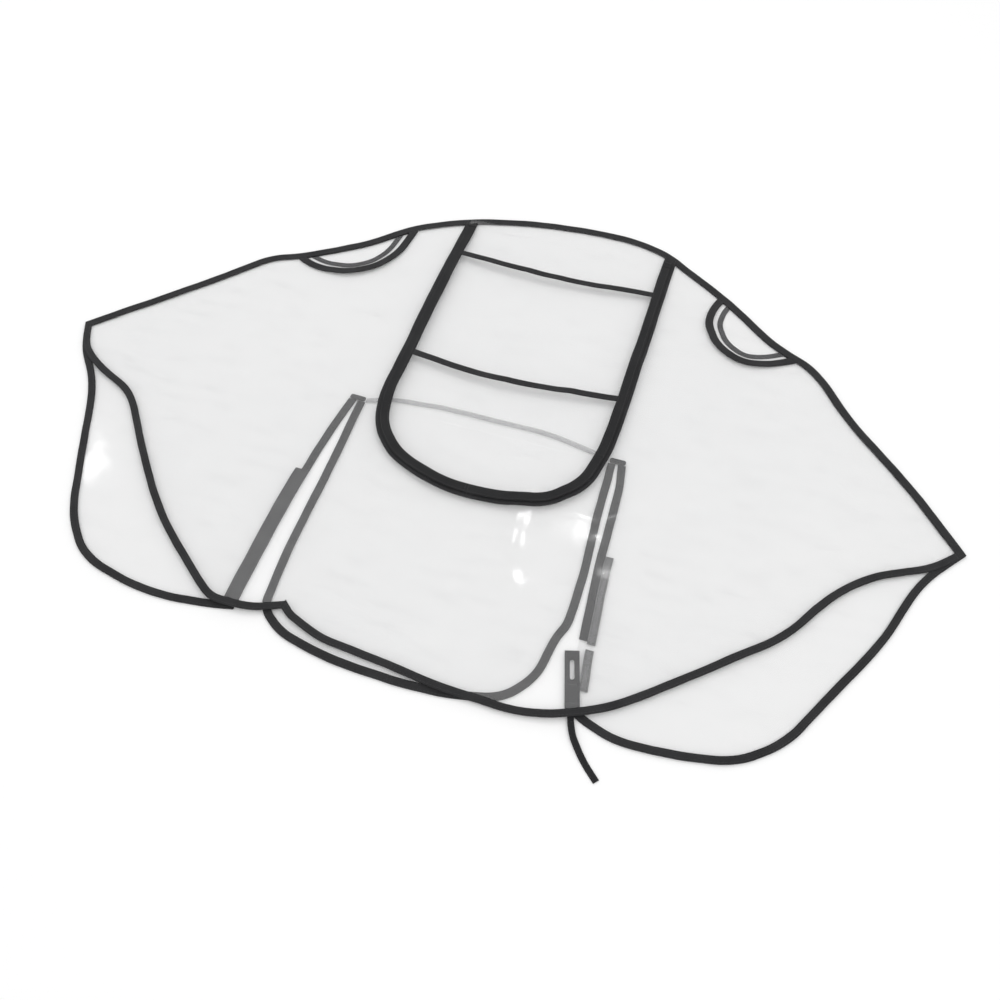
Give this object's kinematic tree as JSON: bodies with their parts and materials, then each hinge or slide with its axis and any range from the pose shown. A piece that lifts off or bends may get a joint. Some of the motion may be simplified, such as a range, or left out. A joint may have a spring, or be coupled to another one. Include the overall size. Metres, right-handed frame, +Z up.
{
  "type": "salon cape",
  "caption": "Clear film salon cape with bound edges, hand openings, a neck opening under a lifting bib, and a slit back with hook-and-loop strips and a tie.",
  "frame": {"origin": "on the ground under the middle of the bounding box, the cape lying flat with its front side up", "axes": "+X from wing tip to wing tip, +Y from the hem towards the shoulder seam, +Z up, out of the front side"},
  "size_m": [0.968, 0.6758, 0.0127],
  "materials": {
    "clear_film": "glossy clear soft film, faint haze",
    "weld_seam": "pressed weld in clear film",
    "binding_tape": "black woven binding tape, ribbed",
    "hook_tape": "black hook tape",
    "loop_tape": "grey loop tape",
    "tie_webbing": "black narrow webbing",
    "thread": "black sewing thread"
  },
  "bodies": {
    "cape": {"back_yoke_film": "clear_film", "bar_tacks": "thread", "bib_header_film": "clear_film", "bib_header_tapes": "binding_tape", "flap_weld_strip": "weld_seam", "front_film": "clear_film", "left_front_hem_tape": "binding_tape", "left_hand_facing": "binding_tape", "left_hand_tape": "binding_tape", "left_hook_strip": "hook_tape", "left_neck_tape": "binding_tape", "left_shoulder_tape": "binding_tape", "left_slit_tape": "binding_tape", "left_wing_film": "clear_film", "left_wing_hem_tape": "binding_tape", "lower_loop_patch": "loop_tape", "neck_opening_tape": "binding_tape", "right_front_hem_tape": "binding_tape", "right_hand_facing": "binding_tape", "right_hand_tape": "binding_tape", "right_neck_tape": "binding_tape", "right_shoulder_tape": "binding_tape", "right_slit_tape": "binding_tape", "right_wing_film": "clear_film", "right_wing_hem_tape": "binding_tape", "slit_apex_tapes": "binding_tape", "tie_loop": "tie_webbing", "top_seam_tape": "binding_tape", "upper_loop_patch": "loop_tape"},
    "bib": {"bib_film": "clear_film", "bib_tape": "binding_tape", "upper_cross_band": "binding_tape", "lower_cross_band": "binding_tape"},
    "back_flap": {"back_flap_film": "clear_film", "back_flap_tape": "binding_tape", "back_flap_corner_tape": "binding_tape", "back_flap_side_tape": "binding_tape"},
    "tie_end_tail": {"tie_tail": "tie_webbing"}
  },
  "joints": [
    {"name": "bib_lift", "type": "hinge", "parent": "cape", "child": "bib", "pos_m": [0, 0.297, 0.0122], "axis": [-1, 0, 0], "range_deg": [0, 150]},
    {"name": "back_flap_swing", "type": "hinge", "parent": "cape", "child": "back_flap", "pos_m": [0, 0, 0], "axis": [1, 0, 0], "range_deg": [0, 60]},
    {"name": "tie_swing", "type": "hinge", "parent": "cape", "child": "tie_end_tail", "pos_m": [0.1665, -0.2895, 0.0036], "axis": [-0.9285, -0.3714, 0], "range_deg": [0, 90]}
  ]
}
